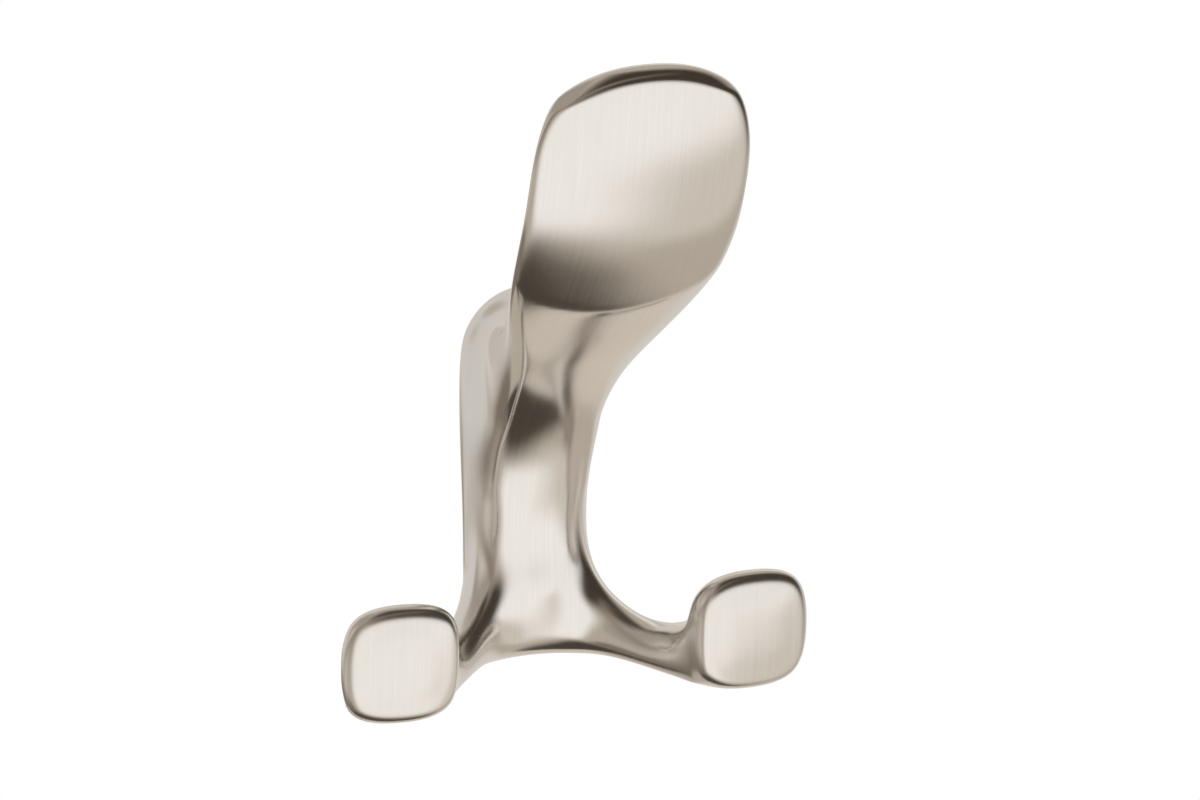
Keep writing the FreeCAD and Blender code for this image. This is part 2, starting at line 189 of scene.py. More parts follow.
class ArmSizes(bpy.types.PropertyGroup):
    """Sizes of the arms and the small paddles"""

    sag: length("Sag", 5.0, "How far an arm hangs below the line between its ends")
    squareness: share("Squareness", 0.84, "Corner of an arm's section as a share of its half size")
    lean: angle("Lean", 12.0, "Lean of an arm's front back from upright, at the foot")
    places: bpy.props.FloatVectorProperty(
        name="Places",
        description="Where each section lies, from the foot to the small paddle",
        default=(0.17, 0.40, 0.58, 0.77, 0.96),
        size=5,
        subtype="NONE",
    )
    half_depths: bpy.props.FloatVectorProperty(
        name="Half depths",
        description="Half depth of each section",
        default=[v * MM for v in (5.4, 5.0, 5.2, 6.8, 10.2)],
        size=5,
        unit="LENGTH",
        precision=5,
    )
    half_heights: bpy.props.FloatVectorProperty(
        name="Half heights",
        description="Half height of each section",
        default=[v * MM for v in (5.8, 4.9, 4.6, 6.2, 9.3)],
        size=5,
        unit="LENGTH",
        precision=5,
    )
    hook_side: length("Paddle side", 35.1, "Distance of a small paddle from the middle")
    hook_rise: length("Paddle rise", 6.1, "Height of a small paddle above the bar's end")
    hook_out: length("Paddle distance", 28.2, "Distance of a small paddle's face from the wall")
    hook_half_width: length("Paddle half width", 12.5, "Half width of a small paddle's cage")
    hook_half_height: length("Paddle half height", 12.4, "Half height of a small paddle's cage")
    hook_thickness: length("Paddle thickness", 3.8, "Thickness of a small paddle")
    hook_lean: angle("Paddle lean", 4.0, "Lean of a small paddle's face")
    hook_splay: angle("Paddle splay", 4.0, "Turn of a small paddle's face to the side")
    hook_squareness: share("Paddle squareness", 0.9, "Corner of the outline as a share of its half size")
    hook_crown: length("Paddle crown", 1.0, "Rise of the face's middle above its rim")
    hook_roll: length("Paddle roll", 0.8, "How far the front edge is rolled back from the outline")
    hook_rim: length("Paddle rim", 4.2, "Width of the rounded rim")
    hook_inner: length("Paddle inner", 5.5, "Half size of the face's inner loop")
    end_inset: length("Arm end inset", 2.4, "How far the arm joins inwards of the paddle's middle")
    end_drop: length("Arm end drop", 2.0, "How far the arm joins below the paddle's middle")
    end_depth: length("Arm end depth", 0.5, "How far behind the paddle the arm's last section lies")


class FixingSizes(bpy.types.PropertyGroup):
    """Sizes of the two tapped holes in the back"""

    spacing: length("Spacing", SCREWS["spacing_y_mm"], "Distance between the two holes")
    crest_radius: length("Crest radius", SCREWS["hole_r_mm"], "Radius inside the thread's crests")
    root_radius: length("Root radius", 2.0, "Radius at the thread's roots")
    mouth_radius: length("Mouth radius", 2.3, "Radius of the countersunk mouth")
    depth: length("Depth", 6.0, "Depth of the holes before their pointed ends")
    pitch: length("Pitch", 0.7, "Distance from one thread to the next")
    point: angle("Point", 118.0, "Angle of the drill's point at the holes' ends")


class Finish(bpy.types.PropertyGroup):
    """Colours of the plating and the studio"""

    nickel: colour("Nickel", (0.76, 0.73, 0.69), "Colour of the satin nickel plating")
    bare: colour("Ground metal", (0.70, 0.69, 0.68), "Colour of the ground back and the drilled holes")
    worn: colour("Worn metal", (0.74, 0.70, 0.64), "Warmer tone in the plating's broad clouds")
    pit: colour("Pits", (0.45, 0.42, 0.38), "Colour of the few fine pits")
    floor: colour("Floor", (0.86, 0.86, 0.85), "Colour of the floor")


class CoatHook(bpy.types.PropertyGroup):
    """All sizes and colours of the coat hook"""

    bar: bpy.props.PointerProperty(type=BarSizes, name="Bar", description="Wall bar, stem and foot")
    neck: bpy.props.PointerProperty(type=NeckSizes, name="Neck", description="Neck")
    paddle: bpy.props.PointerProperty(type=PaddleSizes, name="Paddle", description="Main paddle")
    arm: bpy.props.PointerProperty(type=ArmSizes, name="Arms", description="Arms and small paddles")
    fixing: bpy.props.PointerProperty(type=FixingSizes, name="Fixing", description="Tapped holes")
    finish: bpy.props.PointerProperty(type=Finish, name="Finish", description="Colours")


# Shader maths

class Value:
    """A number socket on which +, -, *, / and ** add Math nodes."""

    def __init__(self, nodes, socket):
        self.nodes = nodes
        self.socket = socket

    def __add__(self, other):
        return self.nodes.math("ADD", self, other)

    def __radd__(self, other):
        return self.nodes.math("ADD", other, self)

    def __sub__(self, other):
        return self.nodes.math("SUBTRACT", self, other)

    def __rsub__(self, other):
        return self.nodes.math("SUBTRACT", other, self)

    def __mul__(self, other):
        return self.nodes.math("MULTIPLY", self, other)

    def __rmul__(self, other):
        return self.nodes.math("MULTIPLY", other, self)

    def __pow__(self, other):
        return self.nodes.math("POWER", self, other)


class Nodes:
    """Builds one node tree."""

    def __init__(self, tree):
        self.tree = tree
        tree.nodes.clear()

    def add(self, kind, settings=None, output=0, **inputs):
        """New node of a type, with its settings and the values or links of its sockets, by name."""
        node = self.tree.nodes.new(kind)
        for key, value in (settings or {}).items():
            setattr(node, key, value)
        for key, value in inputs.items():
            self.put(node, key, value)
        return Value(self, node.outputs[output])

    def put(self, node, key, value):
        """Sets or links one socket, named as in Blender with _ for a space, or numbered as s0, s1."""
        if key[0] == "s" and key[1:].isdigit():
            socket = node.inputs[int(key[1:])]
        else:
            socket = node.inputs[key.replace("_", " ")]
        if isinstance(value, Value):
            self.tree.links.new(value.socket, socket)
        else:
            socket.default_value = value

    def math(self, operation, *values):
        """Math node on numbers."""
        inputs = {f"s{i}": value for i, value in enumerate(values)}
        return self.add("ShaderNodeMath", {"operation": operation}, **inputs)

    def smooth(self, value, low, high):
        """0 below low, 1 above high and a smooth step between them. Low may be the higher one."""
        if low > high:
            return 1 - self.smooth(value, high, low)
        settings = {"interpolation_type": "SMOOTHSTEP"}
        return self.add("ShaderNodeMapRange", settings, Value=value, From_Min=low, From_Max=high)

    def vector(self, operation, *values):
        """Vector Math node on vectors."""
        inputs = {f"s{i}": value for i, value in enumerate(values)}
        return self.add("ShaderNodeVectorMath", {"operation": operation}, **inputs)

    def parts(self, vector):
        """X, Y and Z of a vector."""
        node = self.tree.nodes.new("ShaderNodeSeparateXYZ")
        self.put(node, "s0", vector)
        return [Value(self, socket) for socket in node.outputs]

    def mix(self, factor, first, second):
        """Mix of two colours."""
        return self.add("ShaderNodeMix", {"data_type": "RGBA"}, output=2, s0=factor, s6=first, s7=second)

    def noise(self, vector, scale, detail=2.0, roughness=0.5):
        """Smooth noise between 0 and 1, around 0.5."""
        settings = {"noise_dimensions": "3D"}
        return self.add(
            "ShaderNodeTexNoise", settings, Vector=vector, Scale=scale, Detail=detail, Roughness=roughness
        )

    def surface(self, shader):
        """Ends a material's tree."""
        self.add_output("ShaderNodeOutputMaterial", shader)

    def add_output(self, kind, shader):
        """Output node with the shader on its surface."""
        node = self.tree.nodes.new(kind)
        self.put(node, "Surface", shader)


def new_material(name):
    """Material and its empty node tree."""
    material = bpy.data.materials.new(name)
    material.use_nodes = True
    return material, Nodes(material.node_tree)


def rgba(values):
    """Colour with a full alpha."""
    return (*values, 1.0)


def tinted(values, factor):
    """Colour made lighter or darker by a factor."""
    return rgba([min(v * factor, 1.0) for v in values])


# Patterns of the metals: numbers of streaks, marks, clouds and pits to the millimetre
FINE_STREAKS = 5.5
BROAD_STREAKS = 1.6
CLOUDS = 0.06
PITS = 2.2
BELT_MARKS = 2.4
BELT_SCRATCHES = 0.9
TURNED_RINGS = 5.0

# Scale of the brushing across the streaks, into the metal and along the streaks
ACROSS, DEEP, ALONG = 1.0, 0.01, 0.012

# Where a pattern starts and is full: the flanks' streaks by how far the surface faces the side, pits
# and scratches by their noise, and the duller arms by their distance beside and above the middle
FLANK_FACING = (0.55, 0.85)
PIT_NOISE = (0.76, 0.84)
SCRATCH_NOISE = (0.66, 0.72)
ARM_SIDE = (9.0, 15.0)
ARM_UP = (-6.0, -14.0)

# Roughness of each metal, and what the patterns add to it
SATIN_ROUGHNESS = 0.10
STREAK_ROUGHNESS = 0.03
CLOUD_ROUGHNESS = 0.02
ARM_ROUGHNESS = 0.085
GROUND_ROUGHNESS = 0.36
MARK_ROUGHNESS = 0.16
CUT_ROUGHNESS = 0.24
RING_ROUGHNESS = 0.14


def metal(n, colour_link, roughness, height, depth, strength):
    """Bare metal with a relief of that depth in metres, as the surface of the tree."""
    bump = n.add("ShaderNodeBump", Height=height, Distance=depth, Strength=strength)
    shader = n.add(
        "ShaderNodeBsdfPrincipled", Base_Color=colour_link, Metallic=1.0, Roughness=roughness, Normal=bump
    )
    n.surface(shader)


def satin_nickel(finish):
    """Plated and brushed upright: fine lines in colour, roughness and height, on front and flanks.

    The lines are noise that is drawn out along the height. The arms and their paddles are duller.
    """
    material, n = new_material("satin_nickel")
    place = n.add("ShaderNodeTexCoord", output=3)
    millimetres = n.vector("MULTIPLY", place, (1 / MM, 1 / MM, 1 / MM))
    normal = n.add("ShaderNodeNewGeometry", output=1)
    flank = n.smooth(n.math("ABSOLUTE", n.parts(normal)[0]), *FLANK_FACING)
    front_lines = n.vector("MULTIPLY", millimetres, (ACROSS, DEEP, ALONG))
    flank_lines = n.vector("MULTIPLY", millimetres, (DEEP, ACROSS, ALONG))

    def lines(scale):
        """Streaks across X on the front and across Y on the flanks."""
        front = n.noise(front_lines, scale)
        side = n.noise(flank_lines, scale)
        return front + flank * (side - front)

    fine = lines(FINE_STREAKS)
    broad = lines(BROAD_STREAKS)
    cloud = n.noise(millimetres, CLOUDS)
    pits = n.smooth(n.noise(millimetres, PITS, detail=1.0), *PIT_NOISE)
    tone = n.smooth(fine * 0.7 + broad * 0.3, 0.32, 0.68)
    base = n.mix(tone, tinted(finish.nickel, 0.975), tinted(finish.nickel, 1.025))
    warm = n.mix(n.smooth(cloud, 0.35, 0.7) * 0.35, base, rgba(finish.worn))
    pitted = n.mix(pits * 0.25, warm, rgba(finish.pit))
    x, _, z = n.parts(millimetres)
    arms = n.smooth(n.math("ABSOLUTE", x), *ARM_SIDE) * n.smooth(z, *ARM_UP)
    roughness = SATIN_ROUGHNESS + (broad + fine) * STREAK_ROUGHNESS + cloud * CLOUD_ROUGHNESS
    roughness = roughness + arms * ARM_ROUGHNESS
    height = fine * 0.8 + broad * 0.2 - pits * 0.2
    metal(n, pitted, roughness, height, depth=0.01 * MM, strength=0.2)
    return material


def ground_back(finish):
    """Back ground flat on a belt: straight coarse marks at a slant, with a few deeper scratches."""
    slant = (0.0, math.radians(14.0), 0.0)
    drawn_out = (1.0, 1.0, 0.03)
    material, n = new_material("ground_back")
    place = n.add("ShaderNodeTexCoord", output=3)
    turned = n.add("ShaderNodeMapping", Vector=place, Rotation=slant, Scale=(1 / MM, 1 / MM, 1 / MM))
    belt = n.vector("MULTIPLY", turned, drawn_out)
    marks = n.noise(belt, BELT_MARKS, detail=4.0, roughness=0.6)
    scratches = n.smooth(n.noise(belt, BELT_SCRATCHES, detail=1.0), *SCRATCH_NOISE)
    base = n.mix(n.smooth(marks, 0.3, 0.7), tinted(finish.bare, 0.88), tinted(finish.bare, 1.05))
    scratched = n.mix(scratches * 0.5, base, tinted(finish.bare, 1.2))
    roughness = GROUND_ROUGHNESS + marks * MARK_ROUGHNESS
    metal(n, scratched, roughness, marks + scratches * 0.6, depth=0.04 * MM, strength=0.5)
    return material


def cut_metal(finish):
    """Drilled and tapped metal: fine rings round the hole's axis."""
    drawn_out = (0.1 / MM, 1 / MM, 0.1 / MM)
    material, n = new_material("cut_metal")
    place = n.add("ShaderNodeTexCoord", output=3)
    rings = n.noise(n.vector("MULTIPLY", place, drawn_out), TURNED_RINGS)
    base = n.mix(rings, tinted(finish.bare, 0.8), tinted(finish.bare, 1.05))
    metal(n, base, CUT_ROUGHNESS + rings * RING_ROUGHNESS, rings, depth=0.01 * MM, strength=0.4)
    return material


# Shapes

# Finishes of the casting's cells, as numbers of its materials
SKIN, BACK, HOLE = range(3)
SMOOTH_LEVELS = 3


class Cage:
    """Points and four-sided cells of the casting's right half, kept as whole arrays."""

    def __init__(self):
        self.blocks = []
        self.count = 0
        self.cells = []
        self.finishes = []

    def row(self, points):
        """Adds points given as side, out and up, and returns their numbers."""
        points = np.atleast_2d(np.asarray(points, float))
        numbers = self.count + np.arange(len(points))
        self.blocks.append(points)
        self.count += len(points)
        return numbers

    def points(self, numbers=slice(None)):
        """Places of the points with these numbers, or of all."""
        return np.concatenate(self.blocks)[numbers]

    def add(self, cells, finish=SKIN):
        """Adds cells, each given by four numbers."""
        cells = np.asarray(cells)
        self.cells.append(cells)
        self.finishes.append(np.full(len(cells), finish))

    def strip(self, first, second, finish=SKIN):
        """Cells between two open rows of as many points."""
        first, second = np.asarray(first), np.asarray(second)
        self.add(np.stack([first[:-1], first[1:], second[1:], second[:-1]], axis=1), finish)

    def band(self, first, second):
        """Cells between two closed loops of as many points."""
        self.strip(np.append(first, first[0]), np.append(second, second[0]))

    def whole(self):
        """Points, cells and finishes of both halves, without the points that no cell uses."""
        points = self.points() * (1, -1, 1)
        right = np.concatenate(self.cells)
        off_middle = points[:, 0] != 0
        twin = np.where(off_middle, len(points) + np.cumsum(off_middle) - 1, np.arange(len(points)))
        points = np.concatenate([points, points[off_middle] * (-1, 1, 1)])
        cells = np.concatenate([right, twin[right[:, ::-1]]])
        used, cells = np.unique(cells, return_inverse=True)
        return points[used], cells.reshape(-1, 4), np.tile(np.concatenate(self.finishes), 2)


def front_line(neck, paddle, distance, stem_out):
    """Out, up and lean of the front at distances along it: an arc, a straight run and a second arc.

    With turn t and radius r an arc adds r (1 - cos t) outwards and r sin t upwards. The run adds its
    length times sin and cos of the lean, and the second arc takes the lean back towards upright.
    """
    distance = np.asarray(distance, float)
    first = neck.radius * neck.lean
    turn = np.minimum(distance / neck.radius, neck.lean)
    run = np.clip(distance - first, 0, neck.run)
    bend = np.maximum(distance - first - neck.run, 0)
    lean = turn - bend / paddle.radius
    out = stem_out + neck.radius * (1 - np.cos(turn)) + run * math.sin(neck.lean)
    out = out + paddle.radius * (np.cos(lean) - np.cos(turn))
    up = neck.start_up + neck.radius * np.sin(turn) + run * math.cos(neck.lean)
    up = up + paddle.radius * (np.sin(turn) - np.sin(lean))
    return out, up, lean


def distance_at(neck, height):
    """Distance along the front's first arc or its run at which it is that high."""
    climb = height - neck.start_up
    arc_climb = neck.radius * math.sin(neck.lean)
    if climb < arc_climb:
        return neck.radius * math.asin(climb / neck.radius)
    return neck.radius * neck.lean + (climb - arc_climb) / math.cos(neck.lean)


def eased(part):
    """Smooth step from 0 to 1: p p (3 - 2 p)."""
    part = np.clip(part, 0, 1)
    return part * part * (3 - 2 * part)


def rise(value, start, full):
    """Smooth step that is 0 at the start and 1 where it is full. The start may be the higher one."""
    return eased((value - start) / (full - start))


def body_row(cage, bar, up, out, edge_side, setback, wall_side, droop=0.0):
    """Six points of a level section: along the front, round its edge and back to the wall."""
    flat = min(bar.stem_flat, 0.5 * edge_side)
    edge_out = out - setback
    shoulder_out = bar.edge_out + bar.shoulder_share * (edge_out - bar.edge_out)
    return cage.row(
        [
            (0.0, out, up),
            (flat, out - bar.stem_crown, up),
            (edge_side, edge_out, up - droop),
            (wall_side - bar.shoulder_inset, shoulder_out, up - droop),
            (wall_side, bar.edge_out, up - droop),
            (wall_side - bar.back_inset, 0.0, up),
        ]
    )


def body(cage, sizes):
    """Stem and wall bar from the arch up to the neck's root, open where the arms leave."""
    bar, neck, paddle = sizes.bar, sizes.neck, sizes.paddle
    waist, top = bar.waist_half_width, bar.half_width
    low_up = 0.5 * (bar.stem_waist_up + neck.root_up)
    heights = [distance_at(neck, up) for up in (low_up, neck.root_up)]
    low_out, root_out = front_line(neck, paddle, heights, bar.stem_out)[0]
    low_side = 0.5 * (bar.stem_half_width + neck.root_half_width)
    foot, side = bar.foot_out, bar.foot_half_width
    rows = [
        body_row(cage, bar, -bar.bottom, foot - bar.foot_lip, side, -bar.stem_crown, waist, bar.arch_droop),
        body_row(cage, bar, bar.foot_middle_rise - bar.bottom, foot, side, bar.stem_crown, waist),
        body_row(
            cage, bar, bar.foot_top_rise - bar.bottom, bar.foot_top_out, side, bar.foot_top_setback, waist
        ),
        body_row(cage, bar, bar.stem_waist_up, bar.stem_out, bar.stem_half_width, bar.stem_setback, waist),
        body_row(cage, bar, low_up, low_out, low_side, bar.stem_setback, 0.5 * (waist + top)),
        body_row(cage, bar, neck.root_up, root_out, neck.root_half_width, bar.stem_setback, top),
    ]
    bottom, middle, arm_top = rows[:3]
    for lower, upper in ((bottom, middle), (middle, arm_top)):
        cage.strip(lower[:3], upper[:3])
        cage.strip(lower[4:], upper[4:])
    for lower, upper in zip(rows[2:], rows[3:]):
        cage.strip(lower, upper)
    return rows


def arch(cage, bar, bottom):
    """Underside between the arms, from the lowest row of the body back to the wall."""
    flat_side = cage.points(bottom[1])[0]
    previous = bottom[:3]
    for end in bottom[3:]:
        out = cage.points(end)[1]
        ends = cage.row([(0.0, out, -bar.bottom), (flat_side, out, -bar.bottom)])
        row = np.append(ends, end)
        cage.strip(row, previous)
        previous = row
    return previous


def neck_root(cage, sizes, last_row):
    """Loop round the neck where it leaves the bar: three points in front, five round the back.

    Each back point has its side, and its parts of the way in and up from the front edge to the saddle.
    """
    bar, neck = sizes.bar, sizes.neck
    side, out, up = cage.points(last_row[2])
    saddle_up = bar.top - neck.saddle_drop
    saddle = neck.saddle_half_width
    sides = np.array([side, side, saddle, 0.5 * saddle, 0.0])
    inward = np.array([0.38, 0.75, 0.97, 1.0, 1.0])
    upward = np.array([0.38, 0.72, 0.93, 1.0, 1.0])
    back = np.stack([sides, out + inward * (neck.saddle_out - out), up + upward * (saddle_up - up)], axis=1)
    return np.append(last_row[:3], cage.row(back))


def bar_top(cage, bar, last_row, root):
    """Rounded top of the wall bar: three arcs (r cos t, r sin t) from its sides over the neck's back."""
    inner = root[2:]
    centre_up = bar.top - bar.half_width
    turns = np.radians([8.0, 30.0, 52.0, 72.0])
    for start, inset, out in (
        (last_row[3], bar.shoulder_inset, bar.shoulder_out),
        (last_row[4], 0.0, bar.edge_out),
        (last_row[5], bar.back_inset, 0.0),
    ):
        radius = bar.half_width - inset
        side = np.append(radius * np.cos(turns), 0.0)
        up = np.append(centre_up + radius * np.sin(turns), centre_up + radius)
        arc = np.append(start, cage.row(np.stack([side, np.full(len(side), out), up], axis=1)))
        cage.strip(arc, inner)
        inner = arc
    return inner


# A slab section: share of the half width and share of the thickness behind the front
SLAB_SHARES = np.array([0.0, 0.55, 0.88, 1.0, 0.985, 0.854, 0.55, 0.0])
SLAB_DEPTHS = np.array([0.0, 0.0, 0.0, 0.2, 0.86, 1.0, 1.0, 1.0])


def neck_and_paddle(cage, sizes, root):
    """Slab sections along the front line, from the neck's root to the paddle's widest part.

    Each section lies square to the front line. Its half width eases from the root's to the
    paddle's, and its thickness falls with the power 1.5 of what is left of the widening. The front
    half of a section is crowned by the square of its share of the half width.
    """
    bar, neck, paddle = sizes.bar, sizes.neck, sizes.paddle
    start = distance_at(neck, neck.root_up)
    end = neck.radius * neck.lean + neck.run + paddle.radius * (neck.lean - paddle.lean)
    along = np.arange(1, neck.sections + 1) * (end - start) / neck.sections
    part = along / paddle.widening
    out, up, lean = (v[:, None] for v in front_line(neck, paddle, start + along, bar.stem_out))
    half_width = neck.root_half_width + eased(part) * (paddle.half_width - neck.root_half_width)
    thinning = np.maximum(1 - part, 0) ** 1.5
    thickness = paddle.thickness + thinning * (neck.root_thickness - paddle.thickness)
    crown = np.where(SLAB_DEPTHS < 0.5, paddle.crown * SLAB_SHARES**2, 0.0)
    behind = crown + SLAB_DEPTHS * thickness[:, None]
    side = SLAB_SHARES * half_width[:, None]
    rings = np.stack([side, out - behind * np.cos(lean), up + behind * np.sin(lean)], axis=2)
    previous = root
    for ring in rings:
        numbers = cage.row(ring)
        cage.strip(previous, numbers)
        previous = numbers
    return previous, (float(out[-1, 0]), float(up[-1, 0]))


def paddle_tip(cage, paddle, last_ring, end):
    """End of the main paddle: a rounded outline with a rolled front edge.

    The outline is a superellipse: share of the rise = (1 - share of the width ^ n) ^ (1 / n). A loop
    inside it keeps the rim narrow, and the rim is wider towards the sides.
    """
    out, up = end
    n = paddle.tip_roundness
    front_depth, flank_depth, back_depth = 0.05, 0.1, 0.9
    rim_widening = 0.4

    def place(side, rise, depth):
        """Points at heights above the last section and a share of the thickness behind the front."""
        side, rise = np.broadcast_arrays(np.asarray(side, float), np.asarray(rise, float))
        crown = paddle.crown * (side / paddle.tip_half_width) ** 2
        behind = (1 - depth) * crown + depth * paddle.tip_thickness
        ahead = out + rise * math.sin(paddle.tip_lean) - behind * math.cos(paddle.tip_lean)
        above = up + rise * math.cos(paddle.tip_lean) + behind * math.sin(paddle.tip_lean)
        return cage.row(np.stack([np.atleast_1d(v) for v in (side, ahead, above)], axis=1))

    def outline(part):
        """Share of the rise at a share of the width."""
        return (1 - np.asarray(part) ** n) ** (1 / n)

    parts = np.array([0.0, 0.36, 0.64, 0.835])
    side, rise = parts * paddle.tip_half_width, outline(parts) * paddle.tip_rise
    inner = rise[:3] - paddle.tip_rim * (1 + rim_widening * side[:3] / paddle.tip_half_width)
    flank_rise = 0.52
    flank = outline(flank_rise) * paddle.tip_half_width
    support = np.concatenate(
        [
            place(side[:3], inner, 0.0),
            place(flank, flank_rise * paddle.tip_rise, flank_depth),
            place(flank, flank_rise * paddle.tip_rise, back_depth),
            place(side[:3], inner, 1.0)[::-1],
        ]
    )
    cage.strip(last_ring, support)
    rolled = 1 - paddle.tip_roll / paddle.tip_half_width
    front = place(side * rolled, rise - paddle.tip_roll, front_depth)
    back = place(side, rise, back_depth)
    cage.strip(support, np.concatenate([front, back[::-1]]))
    cage.strip(front, back)


def section_loop(centre, heading, half_depth, half_height, squareness, lean=0.0):
    """Eight points round an arm's section. Heading 0 is straight out to the side, a right angle ahead.

    A point is the centre plus its share of the half depth across the heading and its share of the
    half height along the lean.
    """
    q = squareness
    across = np.array([q, 1.0, q, 0.0, -q, -1.0, -q, 0.0]) * half_depth
    tall = np.array([q, 0.0, -q, -1.0, -q, 0.0, q, 1.0]) * half_height
    side, out, up = centre
    return np.stack(
        [
            side - across * math.sin(heading),
            out + across * math.cos(heading) + tall * math.sin(lean),
            up + tall * math.cos(lean),
        ],
        axis=1,
    )


def hook_centre(sizes, ahead):
    """Middle of the small paddle's face, moved ahead in the direction that it faces."""
    arm = sizes.arm
    side = arm.hook_side + ahead * math.sin(arm.hook_splay)
    out = arm.hook_out + ahead * math.cos(arm.hook_lean) * math.cos(arm.hook_splay)
    return np.array([side, out, arm.hook_rise - sizes.bar.bottom - ahead * math.sin(arm.hook_lean)])


def arm(cage, sizes, root):
    """Sections from the side of the foot to the back of the small paddle.

    The centre runs straight between the ends and sags by 4 p (1 - p) of the sag at part p, and the
    heading turns evenly from the side to straight ahead.
    """
    bar, arm_sizes = sizes.bar, sizes.arm
    start_side = bar.waist_half_width - bar.shoulder_inset
    start = np.array([start_side, 0.5 * bar.foot_out, 0.5 * bar.foot_top_rise - bar.bottom])
    short = (arm_sizes.end_inset, arm_sizes.end_depth, arm_sizes.end_drop)
    end = hook_centre(sizes, -arm_sizes.hook_thickness) - short
    sections = zip(arm_sizes.places, arm_sizes.half_depths, arm_sizes.half_heights)
    previous = root
    for part, half_depth, half_height in sections:
        centre = start + part * (end - start) - (0, 0, arm_sizes.sag * 4 * part * (1 - part))
        heading = 0.5 * math.pi * part
        lean = part * arm_sizes.hook_lean - (1 - part) * arm_sizes.lean
        loop = cage.row(section_loop(centre, heading, half_depth, half_height, arm_sizes.squareness, lean))
        cage.band(previous, loop)
        previous = loop
    return previous


def small_paddle(cage, sizes, arm_end):
    """Plate at the end of an arm: its back, its rim and a face with a slight crown.

    The loops go from the back to the front edge, to the inner side of the rim at 0.3 of the crown,
    to a loop at 0.8 of it and to the middle.
    """
    arm_sizes = sizes.arm
    width, height = arm_sizes.hook_half_width, arm_sizes.hook_half_height
    roll, rim = arm_sizes.hook_roll, arm_sizes.hook_rim
    heading = 0.5 * math.pi - arm_sizes.hook_splay
    previous = arm_end
    for ahead, half_width, half_height in (
        (-arm_sizes.hook_thickness, width, height),
        (0.0, width - roll, height - roll),
        (0.3 * arm_sizes.hook_crown, width - rim, height - rim),
        (0.8 * arm_sizes.hook_crown, arm_sizes.hook_inner, arm_sizes.hook_inner),
    ):
        centre = hook_centre(sizes, ahead)
        squareness, lean = arm_sizes.hook_squareness, arm_sizes.hook_lean
        loop = cage.row(section_loop(centre, heading, half_width, half_height, squareness, lean))
        cage.band(previous, loop)
        previous = loop
    centre = cage.row(hook_centre(sizes, arm_sizes.hook_crown))[0]
    middle = np.array([previous[7], centre, previous[3]])
    cage.strip(previous[:3], middle)
    cage.strip(middle, previous[6:3:-1])


def drilled_hole(cage, fixing, up):
    """Half loops down a blind hole, from its countersunk mouth to its pointed end.

    A closed loop of six points smooths to 0.832 of its radius, so the loops are that much larger. A
    second loop near the mouth and near the end keeps the two edges crisp.
    """
    swell = 1 / 0.832
    turns = np.radians([-90.0, -30.0, 30.0, 90.0])
    after_mouth, before_end = 0.5 * MM, 0.4 * MM
    blunt = 0.2
    chamfer = fixing.mouth_radius - fixing.root_radius
    point = fixing.root_radius / math.tan(0.5 * fixing.point)
    loops = []
    for radius, out in (
        (fixing.mouth_radius, 0.0),
        (fixing.root_radius, chamfer),
        (fixing.root_radius, chamfer + after_mouth),
        (fixing.root_radius, fixing.depth - before_end),
        (fixing.root_radius, fixing.depth),
        (blunt * fixing.root_radius, fixing.depth + (1 - blunt) * point),
    ):
        side = radius * swell * np.cos(turns)
        side[[0, -1]] = 0.0
        rise = up + radius * swell * np.sin(turns)
        loops.append(cage.row(np.stack([side, np.full(len(side), out), rise], axis=1)))
    for outer, inner in zip(loops, loops[1:]):
        cage.strip(outer, inner, HOLE)
    cage.add([loops[-1][::-1]], HOLE)
    return loops[0]


def flat_back(cage, sizes, wall):
    """Flat back inside the rim: a grid of cells with a ring of them round each hole.

    Wall holds the rim's points from the middle of the arch round the side to the middle of the top.
    Two columns of points stand at the heights of the side's points, one in the middle and one beside
    the holes. Two more points fill the rounded top.
    """
    half_spacing = 0.5 * sizes.fixing.spacing
    rim = cage.points(wall)
    column_side = rim[1, 0]
    heights = rim[3:9, 2]
    flat = np.zeros(len(heights))
    column = cage.row(np.stack([flat + column_side, flat, heights], axis=1))
    middle = cage.row(np.stack([flat, flat, heights], axis=1))
    cage.add([(wall[0], middle[0], column[0], wall[1]), (wall[1], column[0], wall[3], wall[2])], BACK)
    cage.strip(column, wall[3:9], BACK)
    low, high = (drilled_hole(cage, sizes.fixing, up) for up in (-half_spacing, half_spacing))
    for i in (0, 2, 3):
        cage.add([(middle[i], middle[i + 1], column[i + 1], column[i])], BACK)
    for i, hole in ((1, low), (4, high)):
        ring = np.array([middle[i], column[i], column[i + 1], middle[i + 1]])
        cage.strip(hole, ring, BACK)
    top_part, top_widening = 0.45, 1.1
    top_up = rim[9, 2] + top_part * (rim[12, 2] - rim[9, 2])
    near, far = cage.row([(0.0, 0.0, top_up), (column_side * top_widening, 0.0, top_up)])
    cage.add(
        [
            (middle[5], near, far, column[5]),
            (column[5], far, wall[9], wall[8]),
            (far, wall[11], wall[10], wall[9]),
            (near, wall[12], wall[11], far),
        ],
        BACK,
    )


def casting_cage(sizes):
    """Cage of the whole casting."""
    cage = Cage()
    rows = body(cage, sizes)
    arch_wall = arch(cage, sizes.bar, rows[0])
    root = neck_root(cage, sizes, rows[-1])
    top_wall = bar_top(cage, sizes.bar, rows[-1], root)
    last_ring, end = neck_and_paddle(cage, sizes, root)
    paddle_tip(cage, sizes.paddle, last_ring, end)
    bottom, middle, top = rows[:3]
    arm_root = [top[2], middle[2], bottom[2], bottom[3], bottom[4], middle[4], top[4], top[3]]
    small_paddle(cage, sizes, arm(cage, sizes, np.array(arm_root)))
    sides = [row[5] for row in rows[1:]]
    flat_back(cage, sizes, np.concatenate([arch_wall, sides, top_wall[1:]]))
    return cage.whole()


